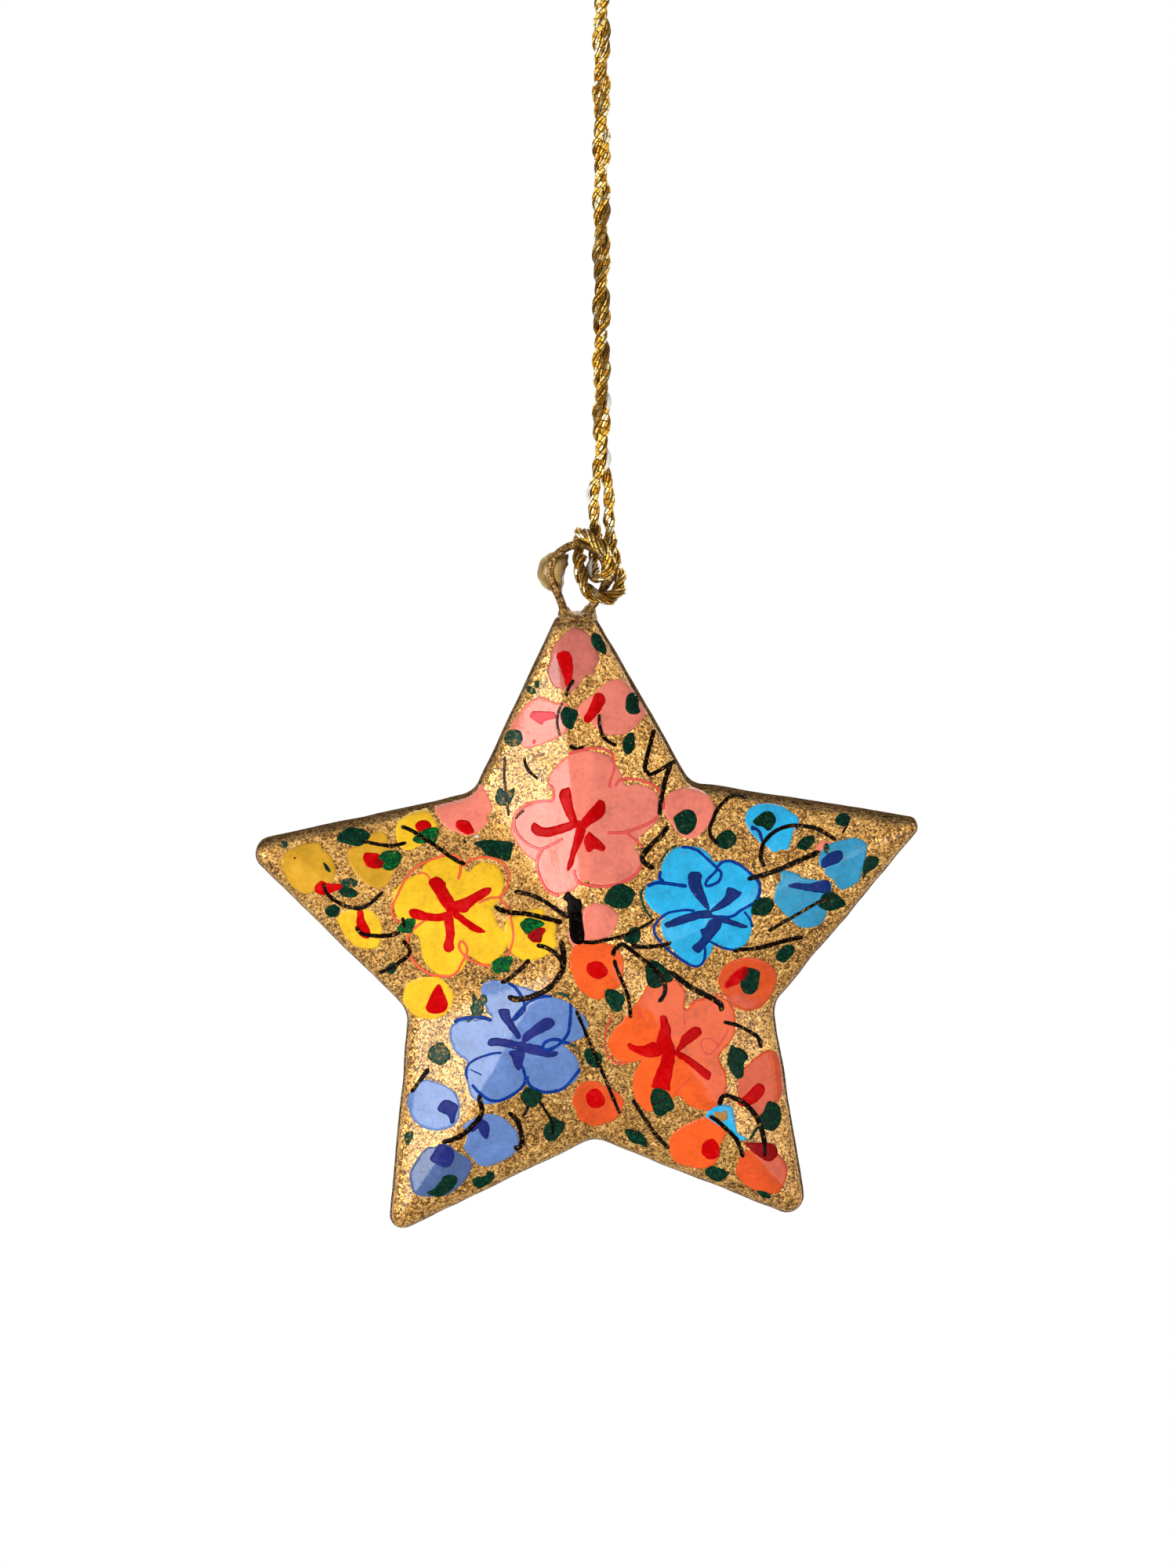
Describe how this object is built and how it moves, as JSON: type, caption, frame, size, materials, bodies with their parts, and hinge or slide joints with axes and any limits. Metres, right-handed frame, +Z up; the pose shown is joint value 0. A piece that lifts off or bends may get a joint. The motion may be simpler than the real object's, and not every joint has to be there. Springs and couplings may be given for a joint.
{
  "type": "hanging star ornament",
  "caption": "Hollow papier-mache star with faceted faces and a painted flower pattern, on a bent wire eye, hung by a looped gilt cord.",
  "frame": {"origin": "the hang point: the inside of the top of the cord's loop, where a hook or twig would bear", "axes": "+Z up; +X to the right seen from the painted front; the front of the star faces -Y and its thickness lies along Y"},
  "size_m": [0.0751, 0.024, 0.1525],
  "materials": {
    "painted_front": "gold flake paint under clear lacquer, flowers painted over it",
    "painted_back": "gold flake paint under clear lacquer, flowers painted over it",
    "edge_paper": "rough pasted paper under thin gold paint",
    "pulp_cap": "paper pulp under gold paint and lacquer",
    "painted_wire": "wire under brown-gold paint that has flaked",
    "lacquer": "dried greenish amber lacquer, glossy",
    "gilt_cord": "metallic gilt thread, plied"
  },
  "bodies": {
    "cord": {"hanging_cord": "gilt_cord"},
    "hitch": {"cord_hitch": "gilt_cord"},
    "star": {"front_shell": "painted_front", "back_shell": "painted_back", "seam_strip": "edge_paper", "tip_cap": "pulp_cap", "wire_loop": "painted_wire", "lacquer_drop": "lacquer"}
  },
  "joints": [
    {"name": "cord_twist", "type": "hinge", "parent": "cord", "child": "hitch", "pos_m": [0, 0, -0.0691], "axis": [0, 0, 1], "range_deg": [-180, 180]},
    {"name": "star_swing", "type": "hinge", "parent": "hitch", "child": "star", "pos_m": [0, 0, -0.0757], "axis": [1, 0, 0], "range_deg": [-12, 12]}
  ]
}
